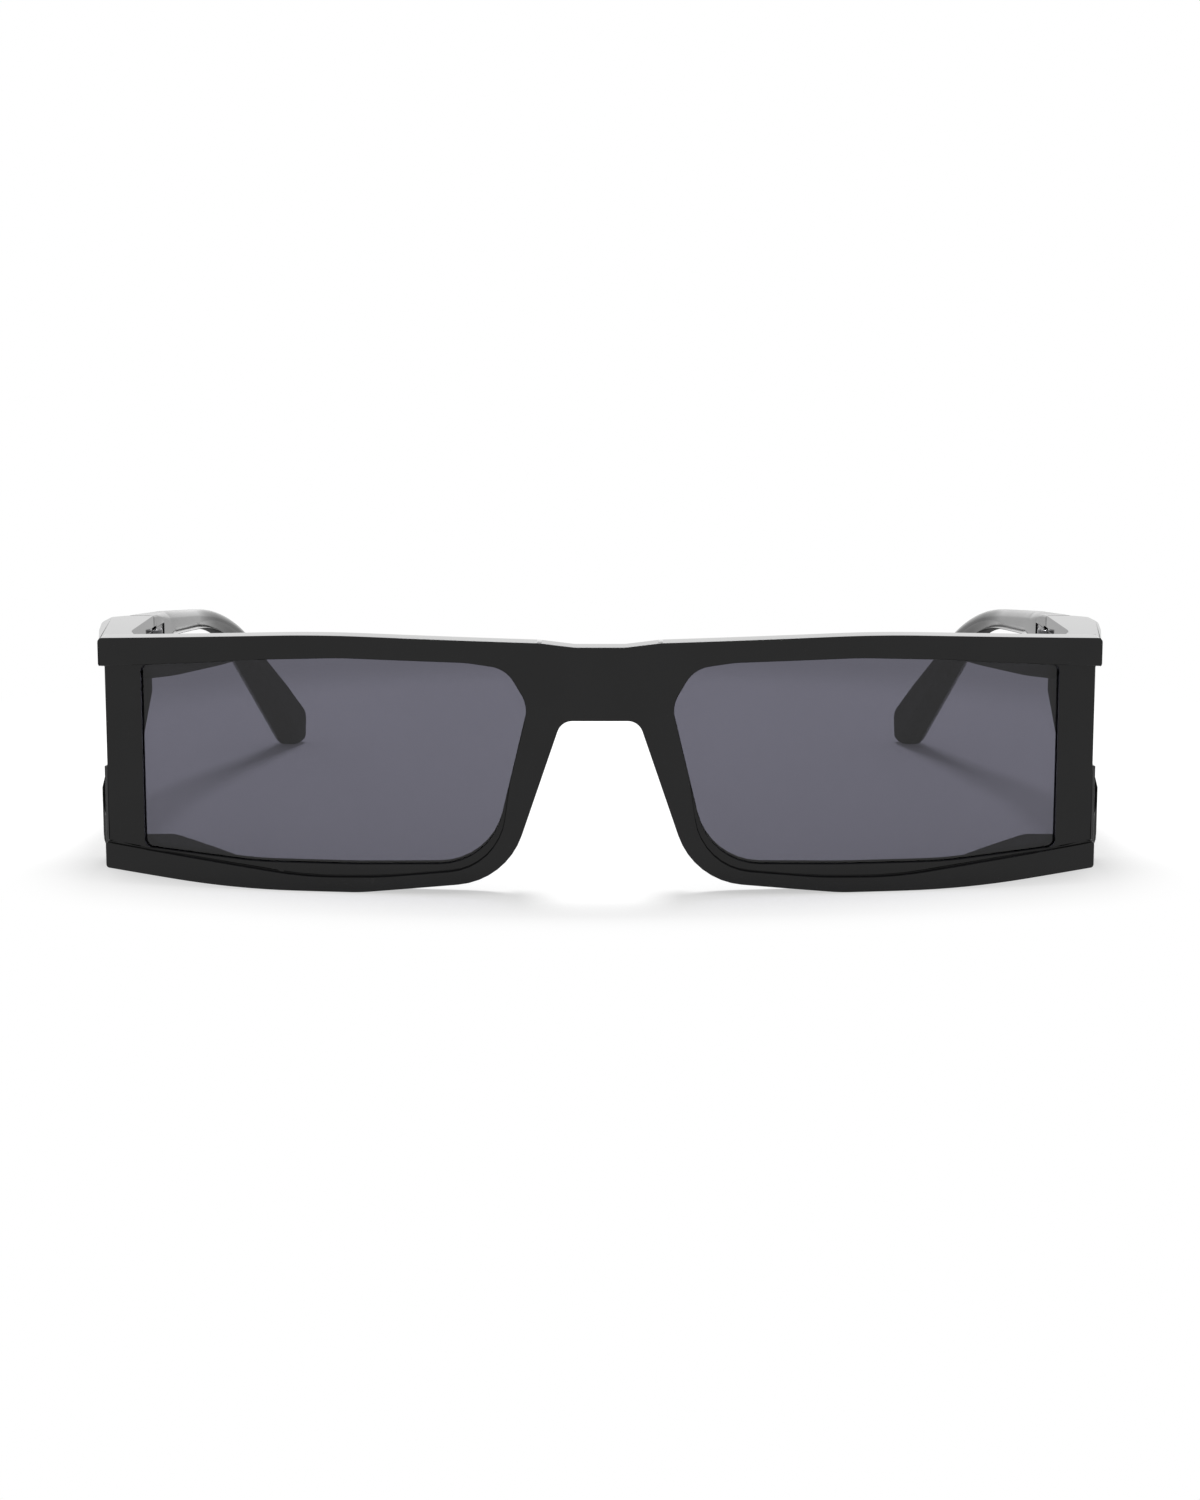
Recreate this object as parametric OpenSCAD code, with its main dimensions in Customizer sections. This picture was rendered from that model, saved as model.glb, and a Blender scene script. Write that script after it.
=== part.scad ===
// Slim rectangular sunglasses with a wide top bar, tinted side windows and folding temples.
// X runs across the face, Y runs from the front towards the ears and Z points up.
// The glasses stand open on their two rims and on the two temple tips, which touch Z = 0.
// Left is the side of positive X, which is the wearer's own left.

/* [Front] */
// Half of the width over the ends of the top bar
bar_half_w = 72.5; // [68:0.5:80]
// Height of the highest stretch of the top bar above the table
bar_top = 37.2; // [35:0.1:41]
// Height by which the ends of the bar lie lower than its highest stretch
bar_drop = 1.2; // [0.8:0.1:1.6]
// Height of the end faces of the bar
bar_h = 4.2; // [3.6:0.1:4.8]
// Height of the bar in front of the lens, at its highest stretch
bar_face = 3.3; // [2.8:0.1:4]
// Length by which the ends of the bar stand out past the posts
overhang = 0.8; // [0.6:0.1:1.2]
// Thickness of the moulded front from its face to its back
front_t = 4.4; // [4:0.1:5]
// Radius of the gentle curve of the whole front, seen from above
wrap_r = 300; // [270:5:340]
// Depth by which the outer posts and the lens edge lie behind the face
recess = 1.0; // [0.6:0.1:1.2]
// Width of the outer posts
post_w = 5.4; // [4.8:0.1:6]
// Height of the outer ends of the bottom lip
lip_h = 3.9; // [3.4:0.1:4.4]
// Height of the lower edge of the lip at its outer ends
lip_low = 2.3; // [1.8:0.1:2.8]
// Height of the rim under the lens
rim_h = 3.95; // [3.5:0.05:4.4]

/* [Bridge and nose] */
// Height of the bridge
bridge_h = 10.5; // [9:0.1:12]
// Half of the width of the nose gap just under the bridge
nose_top_half = 5.5; // [4.8:0.1:6.2]
// Half of the width of the nose gap at the height of the lip
nose_low_half = 13.4; // [12.4:0.1:14.4]
// Radius of the rounded lower corner of each rim beside the nose
nose_corner_r = 10.8; // [8:0.1:11]
// Width of the rim beside the bridge
flank_w = 4.7; // [4:0.1:5.4]
// Width of the rim beside the foot of the nose gap
foot_w = 2.3; // [2:0.1:2.6]
// Depth of the nose pads behind the rim
pad_depth = 4.2; // [3.2:0.1:5.2]
// Thickness of the nose pads
pad_t = 2.2; // [1.8:0.1:2.6]

/* [Lenses] */
// Thickness of the front lenses
lens_t = 1.8; // [1.5:0.1:2]
// Depth of the lens groove in the rim
groove = 0.8; // [0.6:0.1:1]
// Free space around a lens in its groove
lens_gap = 0.05; // [0.02:0.01:0.08]
// Thickness of the side lenses
side_lens_t = 1.6; // [1.4:0.1:1.8]

/* [Sides] */
// Distance of the inner face of a side wall from the outer face of its post
wall_inset = 2.4; // [2.2:0.1:2.6]
// Thickness of a side wall and of a temple root at the joint between them
root_t = 4.1; // [3.8:0.1:4.6]
// Width by which the ledge along the side swells out past the temple root
flare = 2.4; // [1.8:0.1:3]
// Height by which the side walls and the temple roots lie lower than the bar
side_drop = 1.4; // [1.2:0.1:1.8]
// Height of the temple root
root_h = 10.3; // [9.8:0.1:11]
// Depth of the joint between the side walls and the temples
joint_y = 39.8; // [37:0.1:44]
// Length by which the lower end of a side wall stops short of the joint
wall_short = 10.3; // [9:0.1:11.5]
// Thickness of the lower corner braces
brace_t = 1.4; // [1:0.1:1.6]
// Height of the upper face of the lower corner braces
brace_top = 3.6; // [3.4:0.1:3.9]
// Width of the frame strip around the side windows
window_rim = 4.2; // [3.9:0.1:4.6]

/* [Temples] */
// Length of the temples behind the joint
temple_l = 102.5; // [95:0.5:112]
// Length of the dropped end of the temples
drop_l = 42.8; // [38:0.1:48]
// Height of the slim middle stretch of the temples
slim_h = 3.8; // [3.4:0.1:4.2]
// Distance that the tips lie further in than the inner faces of the side walls
tip_in = 8.1; // [6:0.1:10]
// Half of the width of the square steel core wire
core_half = 0.5; // [0.4:0.05:0.6]

/* [Hinges] */
// Height of the plastic over the hinge barrels
hinge_cover = 2.2; // [1.9:0.1:2.5]
// Height of the three barrels of a hinge together
hinge_h = 6.4; // [5.8:0.1:6.8]
// Radius of the hinge barrels
barrel_r = 1.3; // [1.2:0.05:1.45]
// Radius of the hinge screws
screw_r = 0.7; // [0.6:0.05:0.8]
// Radial running clearance between a hinge screw and its barrels
run_gap = 0.04; // [0.02:0.01:0.08]
// Thickness of the hinge leaves
leaf_t = 0.8; // [0.7:0.05:0.9]
// Length of the plates of the hinge leaves
leaf_l = 6.7; // [6.2:0.1:7]
// Radius of the small leaf screws
leaf_screw_r = 0.5; // [0.4:0.05:0.55]
// Length of the shanks of the leaf screws
leaf_screw_l = 2.6; // [2:0.1:2.8]

/* [Hidden] */
$fn = 48;
// Free space left around each seated metal piece
seat_gap = 0.05;
// Half of the open joint between a side wall and its temple
half_joint = 0.1;
// Free space around the barrels in their notch
notch_gap = 0.6;
// Height of the heads of the hinge screws and of the leaf screws
hinge_head_h = 0.6;
leaf_head_h = 0.35;
// Radii of the same heads
hinge_head_r = 1.15;
leaf_head_r = 0.9;
// Width and depth of the slots in the screw heads
slot_w = 0.3;
slot_depth = 0.2;
// Radius of the small edges of the bar and of the lip
edge_r = 0.5;
// Distance of the nose pads from the edge of the nose gap
pad_in = 0.2;
// Length that cutting solids run past the solid they cut
over = 2;
// Number of steps in each rounded corner
corner_steps = 8;

// Heights of the front
bar_end_top = bar_top - bar_drop;
bar_low = bar_end_top - bar_h;
dip_top = bar_top - bar_drop * 1.25;
bridge_low = dip_top - bridge_h;
lens_top = bar_top - bar_face;
lip_top = lip_low + lip_h;
nose_foot = lip_low * 0.91;
pad_low = bridge_low * 0.32;
pad_top = bridge_low * 0.79;

// Distances from the middle
post_out = bar_half_w - overhang;
post_in = post_out - post_w;
side_in = post_out - wall_inset;
wall_foot = post_in + window_rim * 0.2;
side_x = side_in + root_t;
side_out = side_x + flare;
lip_end = bar_half_w - overhang * 0.5;
brace_in = bar_half_w * 0.676;
tip_out = side_in - tip_in;

// Depths
lens_y = recess * 1.6;
side_lens_x = side_in + recess;
wall_end = joint_y - half_joint;
temple_start = joint_y + half_joint;
temple_end = joint_y + temple_l;
bend_y = temple_end - drop_l;
arm_y = bend_y - drop_l * 0.3;
wire_end = temple_end - drop_l * 0.474;
wall_low_y = joint_y - wall_short;
window_front = sag(post_out) + front_t + window_rim * 0.63;

// Heights of the sides
side_top = bar_top - side_drop;
root_low = side_top - root_h;
wall_low = brace_top - brace_t;
window_low = brace_top + window_rim * 1.05;
window_top = bar_low - window_rim * 1.24;

// Hinge
barrel_top = side_top - hinge_cover;
barrel_low = barrel_top - hinge_h;
knuckle_h = hinge_h / 3;
mid_low = barrel_low + knuckle_h + seat_gap;
mid_top = barrel_top - knuckle_h - seat_gap;
notch_half = barrel_r + notch_gap;
notch_out = side_in + notch_half;
notch_top = barrel_top + leaf_head_h;
leaf_end = joint_y - notch_half;
wire_start = joint_y + notch_half;
front_screw_z = (barrel_low + barrel_top) / 2;
temple_screw_z = (mid_low + barrel_top) / 2 + knuckle_h / 3;

// Unit vector along v
function unit(v) = v / norm(v);

// Depth by which the wrapped face curves back at distance x from the middle
function sag(x) = wrap_r - sqrt(wrap_r * wrap_r - x * x);

// Point of the arc around c with radius r, at the angle a
function on_arc(c, r, a) = c + r * [cos(a), sin(a)];

// Points of one rounded corner p between its neighbours a and b
function corner(a, p, b, r) =
    let (u = unit(a - p), v = unit(b - p), half = acos(u * v) / 2)
    let (c = p + unit(u + v) * r / sin(half), t = r / tan(half))
    let (s = p + u * t - c, e = p + v * t - c)
    let (from = atan2(s.y, s.x), turn = (atan2(e.y, e.x) - from + 540) % 360 - 180)
    [for (i = [0:corner_steps]) on_arc(c, r, from + turn * i / corner_steps)];

// Points for the corner p of an outline, which is sharp unless p has a radius as its third value
function turned(a, p, b) =
    len(p) > 2 ? corner([a.x, a.y], [p.x, p.y], [b.x, b.y], p.z) : [p];

// Outline through the corners c
function rounded(c) = let (n = len(c))
    [for (i = [0:n - 1]) each turned(c[(i + n - 1) % n], c[i], c[(i + 1) % n])];

// Open path through the corners c, with sharp ends
function path(c) = let (n = len(c))
    [for (i = [0:n - 1]) each turned(c[max(i - 1, 0)], c[i], c[min(i + 1, n - 1)])];

// Outline of a whole shape from the corners c of its right half, listed upwards from its middle
function both_halves(c) = let (n = len(c), m = [for (q = c) [-q.x, q.y]])
    let (p = [for (i = [0:n - 1]) each turned(i > 0 ? c[i - 1] : m[0], c[i], i < n - 1 ? c[i + 1] : m[i])])
    concat(p, [for (i = [len(p) - 1:-1:0]) [-p[i].x, p[i].y]]);

// Strip around an open path, reaching by the vector w to each side of it
function strip(p, w) = concat([for (q = p) q - w], [for (i = [len(p) - 1:-1:0]) p[i] + w]);

// The corners of a counter-clockwise outline, all moved outwards by g
function grow(c, g) = let (n = len(c))
    [for (i = [0:n - 1])
        let (p = [c[i].x, c[i].y], a = c[(i + n - 1) % n], b = c[(i + 1) % n])
        let (d1 = unit(p - [a.x, a.y]), d2 = unit([b.x, b.y] - p))
        let (n1 = [d1.y, -d1.x], n2 = [d2.y, -d2.x], q = p + g * (n1 + n2) / (1 + n1 * n2))
        let (bend = d1.x * d2.y - d1.y * d2.x)
        [q.x, q.y, max(c[i].z + (bend > 0 ? g : -g), edge_r / 2)]];

// Corners of one half of the whole front, seen from the front, from the bridge round to the top
front_corners = [
    [nose_top_half, bridge_low, nose_top_half * 0.4],
    [nose_low_half, nose_foot, nose_corner_r],
    [bar_half_w * 0.476, 0, wrap_r * 0.1],
    [bar_half_w * 0.731, 0, wrap_r * 0.5],
    [lip_end, lip_low, edge_r],
    [lip_end, lip_top, edge_r],
    [post_out, lip_top],
    [post_out, bar_low],
    [bar_half_w, bar_low, edge_r],
    [bar_half_w, bar_end_top, edge_r * 1.4],
    [bar_half_w * 0.552, bar_top, wrap_r * 0.67],
    [nose_top_half * 1.56, bar_top - bar_drop * 0.75, nose_corner_r * 0.74],
    [nose_top_half * 0.65, dip_top, nose_corner_r * 0.74]
];

// Corners of the clear opening in front of one lens
lens_corners = [
    [nose_low_half + foot_w, rim_h * 1.11, nose_corner_r * 0.88],
    [post_in * 0.53, rim_h, wrap_r * 0.2],
    [post_in * 0.75, rim_h, wrap_r * 0.2],
    [post_in, rim_h * 1.39, edge_r * 2],
    [post_in, lens_top - bar_drop * 1.5, edge_r * 2],
    [post_in * 0.754, lens_top - bar_drop * 0.4, wrap_r * 0.13],
    [post_in * 0.558, lens_top, wrap_r * 0.2],
    [post_in * 0.287, lens_top - bar_drop * 0.4, wrap_r * 0.067],
    [nose_top_half + flank_w * 1.66, lens_top - bar_drop * 1.08, edge_r * 9],
    [nose_top_half + flank_w, bridge_low + bridge_h * 0.2, edge_r * 9]
];

// Corners of the sunken field that holds the post and the lens's lower edge
recess_corners = [
    [nose_top_half + flank_w * 1.45, pad_top],
    [nose_low_half + foot_w * 0.5, rim_h, nose_corner_r * 0.83],
    [bar_half_w * 0.434, rim_h * 0.58, wrap_r * 0.2],
    [bar_half_w * 0.586, rim_h * 0.52, wrap_r * 0.2],
    [bar_half_w + over, lip_top + over * 0.08],
    [bar_half_w + over, bar_low],
    [bar_half_w * 0.703, lens_top - bar_drop * 0.58],
    [bar_half_w * 0.62, lens_top * 0.885]
];

// Corners of the side wall, seen from the side
wall_corners = [
    [front_t, wall_low],
    [wall_low_y, wall_low, edge_r * 3],
    [wall_low_y - window_rim * 0.55, root_low * 0.68, edge_r * 6],
    [wall_end, root_low, edge_r * 2],
    [wall_end + over, root_low],
    [wall_end + over, side_top],
    [front_t, side_top]
];

// Corners of the side window, seen from the side
window_corners = [
    [window_front, window_low, window_rim * 0.48],
    [wall_low_y - window_rim * 1.14, window_low, window_rim * 0.48],
    [wall_low_y - window_rim * 1.62, root_low * 0.73, window_rim * 0.7],
    [joint_y - window_rim * 2.33, window_top, window_rim * 0.38],
    [window_front, window_top, window_rim * 0.48]
];

// Corners at the front end of a side wall's plan, x being where it leaves the post
function wall_front(x) = [
    [wall_foot, sag(post_in) + lens_y],
    [x, sag(post_out) + lens_y, edge_r * 1.8]
];

// Corners of the inner half of a side wall's plan, from the joint forwards
wall_inside = [
    [side_in, wall_end],
    [side_in, joint_y * 0.48, wrap_r * 0.03],
    [wall_foot, sag(post_in) + front_t]
];

// Corners of the side wall, seen from above
wall_plan = concat(wall_front(post_out), [
    [side_x, joint_y * 0.5, wrap_r * 0.08],
    [side_x + flare * 0.38, joint_y * 0.73, wrap_r * 0.08],
    [side_x + flare * 0.42, joint_y * 0.95, edge_r * 3],
    [side_x, wall_end, edge_r]
], wall_inside);

// Corners at the rear end of the ledge and of the swelling, seen from above
swollen_rear = [
    [side_out, joint_y * 0.78, wrap_r * 0.08],
    [side_out - flare * 0.13, joint_y * 0.95, edge_r * 3],
    [side_x, wall_end, edge_r * 1.6]
];

// Corners of the ledge that the bar sends back along the side, seen from above
ledge_plan = concat(wall_front(bar_half_w), [
    [side_x + flare * 0.42, joint_y * 0.53, wrap_r * 0.08]
], swollen_rear, wall_inside);

// Corners of the swelling at the lower end of the side wall, seen from above
swelling_plan = concat(wall_front(lip_end), [
    [side_x + flare * 0.5, joint_y * 0.57, edge_r * 2],
    [side_out - flare * 0.25, joint_y * 0.61, edge_r * 2]
], swollen_rear, wall_inside);

// Outline of the swelling at the lower end of the side wall, seen from the front
swelling_corners = [
    [post_in, wall_low],
    [side_out - flare * 0.35, wall_low * 1.3, edge_r * 2],
    [side_out - flare * 0.1, brace_top * 2, brace_top * 3],
    [side_out - flare * 0.14, brace_top * 2.9, brace_top * 2.5],
    [side_x, brace_top * 4.9, brace_top * 1.5],
    [post_in, brace_top * 5]
];

// Corners of the braces between the front and the side walls, seen from above
brace_plan = [
    [brace_in, sag(brace_in) + front_t * 0.66],
    [post_out - recess, sag(post_out) + front_t * 0.77],
    [side_in + root_t * 0.6, joint_y * 0.5],
    [side_in + root_t * 0.6, joint_y * 0.8],
    [side_in * 0.996, joint_y * 0.8, edge_r * 2],
    [side_in * 0.926, joint_y * 0.7, wrap_r * 0.047],
    [side_in * 0.817, joint_y * 0.435, wrap_r * 0.1],
    [side_in * 0.75, joint_y * 0.26, wrap_r * 0.02]
];

// Corners of the upper brace, seen from the side
brow_corners = [
    [joint_y * 0.18, bar_low + bar_h * 0.43],
    [joint_y * 0.38, bar_low - bar_h * 0.1],
    [joint_y * 0.85, bar_low - bar_h * 1.26],
    [joint_y * 0.85, lens_top],
    [joint_y * 0.18, lens_top]
];

// Corners of one temple, seen from the side
temple_side = [
    [temple_start, root_low],
    [joint_y + temple_l * 0.168, side_top - slim_h * 1.42, slim_h * 5],
    [bend_y, side_top - slim_h * 2.26, drop_l],
    [temple_end - slim_h * 1.5, 0, slim_h * 1.2],
    [temple_end, 0, slim_h * 0.5],
    [temple_end, slim_h * 1.62, slim_h * 1.2],
    [bend_y, side_top - slim_h * 1.43, drop_l * 1.4],
    [joint_y + temple_l * 0.158, side_top - slim_h * 0.29, drop_l * 1.4],
    [temple_start, side_top]
];

// Corners of one temple, seen from above
temple_plan = [
    [side_in, temple_start],
    [side_x, temple_start],
    [side_in + root_t * 0.62, arm_y, drop_l * 2],
    [tip_out, temple_end, root_t * 0.48],
    [tip_out - root_t * 1.15, temple_end, root_t * 0.44],
    [side_in - tip_in * 1.3, temple_end - drop_l * 0.29, drop_l * 0.47],
    [side_in - root_t * 0.29, arm_y, drop_l * 1.4]
];

// Route of the core wire, seen from the side
wire_side = [
    [wire_start, root_low + root_h * 0.32],
    [joint_y + temple_l * 0.187, side_top - slim_h * 0.97, drop_l * 0.7],
    [bend_y, side_top - slim_h * 1.9, drop_l],
    [wire_end, side_top * 0.405]
];

// Route of the core wire, seen from above
wire_plan = [
    [side_in + root_t * 0.5, wire_start],
    [side_in + root_t * 0.15, arm_y, drop_l * 1.4],
    [side_in - tip_in * 0.78, wire_end]
];

// Moves the whole part so that the middle of its base is at the origin
module placed() {
    translate([0, -temple_end / 2, 0]) children();
}

// Keeps a piece on the wearer's left or mirrors it to the right
module on_side(side) {
    mirror([side < 0 ? 1 : 0, 0, 0]) children();
}

// Gives a flat outline in X and Z a depth from y0 to y1
module deep(points, y0, y1) {
    translate([0, y1, 0]) rotate([90, 0, 0]) linear_extrude(y1 - y0) polygon(points);
}

// Gives a flat outline in Y and Z a width from x0 to x1
module wide(points, x0, x1) {
    translate([x0, 0, 0]) rotate([90, 0, 90]) linear_extrude(x1 - x0) polygon(points);
}

// Gives a flat outline in X and Y a height from z0 to z1
module tall(points, z0, z1) {
    translate([0, 0, z0]) linear_extrude(z1 - z0) polygon(points);
}

// Box from its lowest to its highest corner
module block(low, high) {
    translate(low) cube(high - low);
}

// Curved sheet that follows the wrap of the face, from depth y0 to depth y1 behind it
module wrap_sheet(y0, y1) {
    difference() {
        translate([0, wrap_r, -over]) cylinder(h = bar_top + 2 * over, r = wrap_r - y0, $fn = 720);
        translate([0, wrap_r, -2 * over]) cylinder(h = bar_top + 4 * over, r = wrap_r - y1, $fn = 720);
    }
}

// An outline in X and Z cut out of that curved sheet
module wrapped(points, y0, y1) {
    intersection() {
        deep(points, -over, sag(bar_half_w) + front_t + 2 * over);
        wrap_sheet(y0, y1);
    }
}

// Solid made where a side view and a plan view agree, above the height z0
module two_views(side_points, plan_points, z0 = -over) {
    intersection() {
        wide(side_points, 0, side_out + over);
        tall(plan_points, z0, bar_top + over);
    }
}

// Side wall, with the ledge along its top and the swelling at its lower end
module side_wall() {
    two_views(rounded(wall_corners), rounded(wall_plan));
    two_views(rounded(wall_corners), rounded(ledge_plan), bar_low);
    intersection() {
        two_views(rounded(wall_corners), rounded(swelling_plan));
        deep(rounded(swelling_corners), 0, joint_y);
    }
}

// Lower corner brace, a flat shelf that ends inside the foot of the side wall
module lower_brace() {
    intersection() {
        tall(rounded(brace_plan), wall_low, brace_top);
        block([0, 0, 0], [side_out, wall_low_y - recess, bar_top]);
    }
}

// Upper corner brace, whose underside slopes down to the rear
module upper_brace() {
    two_views(brow_corners, rounded(brace_plan));
}

// Nose pad that stands behind the rim and follows the flank of the nose gap
module nose_pad() {
    lean = (nose_low_half - nose_top_half) / (bridge_low - nose_foot);
    foot = nose_top_half + lean * (bridge_low - pad_low) + pad_in;
    head = nose_top_half + lean * (bridge_low - pad_top) + pad_in;
    root = front_t * 0.77;
    back = front_t + pad_depth;
    slope = pad_depth * 0.83;
    intersection() {
        deep([[foot, pad_low], [foot + pad_t, pad_low], [head + pad_t, pad_top], [head, pad_top]],
            root, back);
        wide(rounded([[root, pad_low], [front_t * 1.2, pad_low, pad_t], [back, pad_low + slope, pad_t],
            [back, pad_top - slope, pad_t], [front_t * 1.2, pad_top, pad_t], [root, pad_top]]),
            0, foot + pad_t + over);
    }
}

// Notch around the hinge barrels, open towards the inside and the bottom
module hinge_notch(y0, y1) {
    block([side_in - over, y0, root_low - over], [notch_out, y1, notch_top]);
}

// Pocket for the plate of a hinge leaf
module leaf_pocket(y0, y1, z0) {
    block([side_in - over, y0, z0 - seat_gap], [side_in + leaf_t + seat_gap, y1, barrel_top + seat_gap]);
}

// Two pieces in a row along Y that starts at y and runs in the direction dir
module leaf_screw_row(y, dir, z) {
    for (share = [0.4, 0.8]) {
        translate([side_in + seat_gap, y + dir * share * leaf_l, z]) rotate([0, 90, 0]) children();
    }
}

// A leaf screw without its slot, or with a gap the hole for it
module leaf_screw_form(gap) {
    cylinder(h = leaf_head_h + gap, r = leaf_head_r + gap);
    cylinder(h = leaf_t + leaf_screw_l + gap, r = leaf_screw_r + gap);
}

// Hole in a leaf for a screw, open towards the inside
module leaf_hole() {
    leaf_screw_form(seat_gap);
    translate([0, 0, -over]) cylinder(h = over + seat_gap, r = leaf_head_r + seat_gap);
}

// Everything that is cut out of one half of the front
module front_cuts() {
    wrapped(rounded(lens_corners), -over, front_t + groove * 0.25);
    wrapped(rounded(grow(lens_corners, groove)), lens_y - lens_gap, lens_y + lens_t + lens_gap);
    wrapped(rounded(recess_corners), -over, recess);
    wide(rounded(window_corners), post_in - over, side_out + over);
    wide(rounded(grow(window_corners, groove)),
        side_lens_x - lens_gap, side_lens_x + side_lens_t + lens_gap);
    hinge_notch(leaf_end, joint_y + over);
    leaf_pocket(leaf_end - leaf_l - seat_gap, joint_y, barrel_low);
    leaf_screw_row(leaf_end, -1, front_screw_z) leaf_screw_form(seat_gap);
}

// Moulded front with its bar, bridge, rims, posts, braces and side walls
module front_frame() {
    color("#1b1b1d") placed() difference() {
        union() {
            wrapped(both_halves(front_corners), 0, front_t);
            for (side = [1, -1]) on_side(side) {
                side_wall();
                lower_brace();
                upper_brace();
                nose_pad();
            }
        }
        for (side = [1, -1]) on_side(side) front_cuts();
    }
}

// Front lens, curved like the face and held in the groove of its rim
module lens(side) {
    color("#3a3940", 0.7) placed() on_side(side)
        wrapped(rounded(grow(lens_corners, groove - lens_gap)), lens_y, lens_y + lens_t);
}

// Flat lens in the window of a side wall
module side_lens(side) {
    color("#3a3940", 0.7) placed() on_side(side)
        wide(rounded(grow(window_corners, groove - lens_gap)), side_lens_x, side_lens_x + side_lens_t);
}

// Square wire, or with a gap the channel for it, that follows the middle of a temple
module wire_form(gap) {
    half = core_half + gap;
    two_views(strip(path(wire_side), [0, half]), strip(path(wire_plan), [half, 0]));
}

// Temple with its tall root, slim arm and dropped tip
module temple(side) {
    color("#1b1b1d") placed() on_side(side) difference() {
        two_views(rounded(temple_side), rounded(temple_plan));
        hinge_notch(joint_y - over, wire_start);
        leaf_pocket(joint_y, wire_start + leaf_l + seat_gap, mid_low);
        leaf_screw_row(wire_start, 1, temple_screw_z) leaf_screw_form(seat_gap);
        wire_form(seat_gap);
    }
}

// Steel wire inside a temple
module core_wire(side) {
    color("#8d8f93") placed() on_side(side) wire_form(0);
}

// Upright cylinder on the hinge axis, between two heights
module barrel(z0, z1, r) {
    translate([side_in, joint_y, z0]) cylinder(h = z1 - z0, r = r);
}

// Neck that joins a plate to its barrel
module barrel_neck(y0, y1, z0, z1) {
    block([side_in, y0, z0], [side_in + leaf_t, y1, z1]);
}

// Leaf on the side wall, with the lower and the upper barrel
module front_leaf(side) {
    color("#a9abb0") placed() on_side(side) difference() {
        union() {
            block([side_in, leaf_end - leaf_l, barrel_low], [side_in + leaf_t, leaf_end, barrel_top]);
            for (z = [barrel_low, barrel_top - knuckle_h]) {
                barrel_neck(leaf_end - notch_gap, joint_y, z, z + knuckle_h);
                barrel(z, z + knuckle_h, barrel_r);
            }
        }
        barrel(barrel_low - over, barrel_top + over, screw_r + run_gap);
        leaf_screw_row(leaf_end, -1, front_screw_z) leaf_hole();
    }
}

// Leaf on the temple, with the middle barrel
module temple_leaf(side) {
    color("#a9abb0") placed() on_side(side) difference() {
        union() {
            block([side_in, wire_start, mid_low], [side_in + leaf_t, wire_start + leaf_l, barrel_top]);
            barrel_neck(joint_y, wire_start + notch_gap, mid_low, mid_top);
            barrel(mid_low, mid_top, barrel_r);
        }
        barrel(barrel_low - over, barrel_top + over, screw_r + run_gap);
        leaf_screw_row(wire_start, 1, temple_screw_z) leaf_hole();
    }
}

// Slotted screw on the hinge axis, with its head under the lowest barrel
module hinge_screw(side) {
    head_z = barrel_low - hinge_head_h;
    color("#c4c6ca") placed() on_side(side) difference() {
        union() {
            barrel(head_z, barrel_top, screw_r);
            barrel(head_z, barrel_low, hinge_head_r);
        }
        block([side_in - over, joint_y - slot_w / 2, head_z - over],
            [side_in + over, joint_y + slot_w / 2, head_z + slot_depth]);
    }
}

// Two leaf screws with slotted heads
module leaf_screws(side, y, dir, z) {
    color("#c4c6ca") placed() on_side(side) leaf_screw_row(y, dir, z) difference() {
        leaf_screw_form(0);
        block([-over, -slot_w / 2, -over], [over, slot_w / 2, slot_depth]);
    }
}

// Leaf screws of the side wall
module front_leaf_screws(side) {
    leaf_screws(side, leaf_end, -1, front_screw_z);
}

// Leaf screws of the temple
module temple_leaf_screws(side) {
    leaf_screws(side, wire_start, 1, temple_screw_z);
}

front_frame();
lens(1);  // left_lens
lens(-1);  // right_lens
side_lens(1);  // left_side_lens
side_lens(-1);  // right_side_lens
temple(1);  // left_temple
temple(-1);  // right_temple
core_wire(1);  // left_core_wire
core_wire(-1);  // right_core_wire
front_leaf(1);  // left_front_leaf
front_leaf(-1);  // right_front_leaf
temple_leaf(1);  // left_temple_leaf
temple_leaf(-1);  // right_temple_leaf
hinge_screw(1);  // left_hinge_screw
hinge_screw(-1);  // right_hinge_screw
front_leaf_screws(1);  // left_front_leaf_screws
front_leaf_screws(-1);  // right_front_leaf_screws
temple_leaf_screws(1);  // left_temple_leaf_screws
temple_leaf_screws(-1);  // right_temple_leaf_screws
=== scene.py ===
"""Looks of slim rectangular sunglasses with a wide top bar, side windows and folding temples.

Lengths inside the classes are in millimetres, measured as on the drawing of the part:
Y is 0 at the middle of the face and Z is 0 on the table. Meshes are written in metres.
"""
import logging
import math
from dataclasses import dataclass
from enum import Enum
from typing import Sequence

import bmesh
import bpy
import numpy as np
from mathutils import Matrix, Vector
from mathutils.bvhtree import BVHTree


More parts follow.
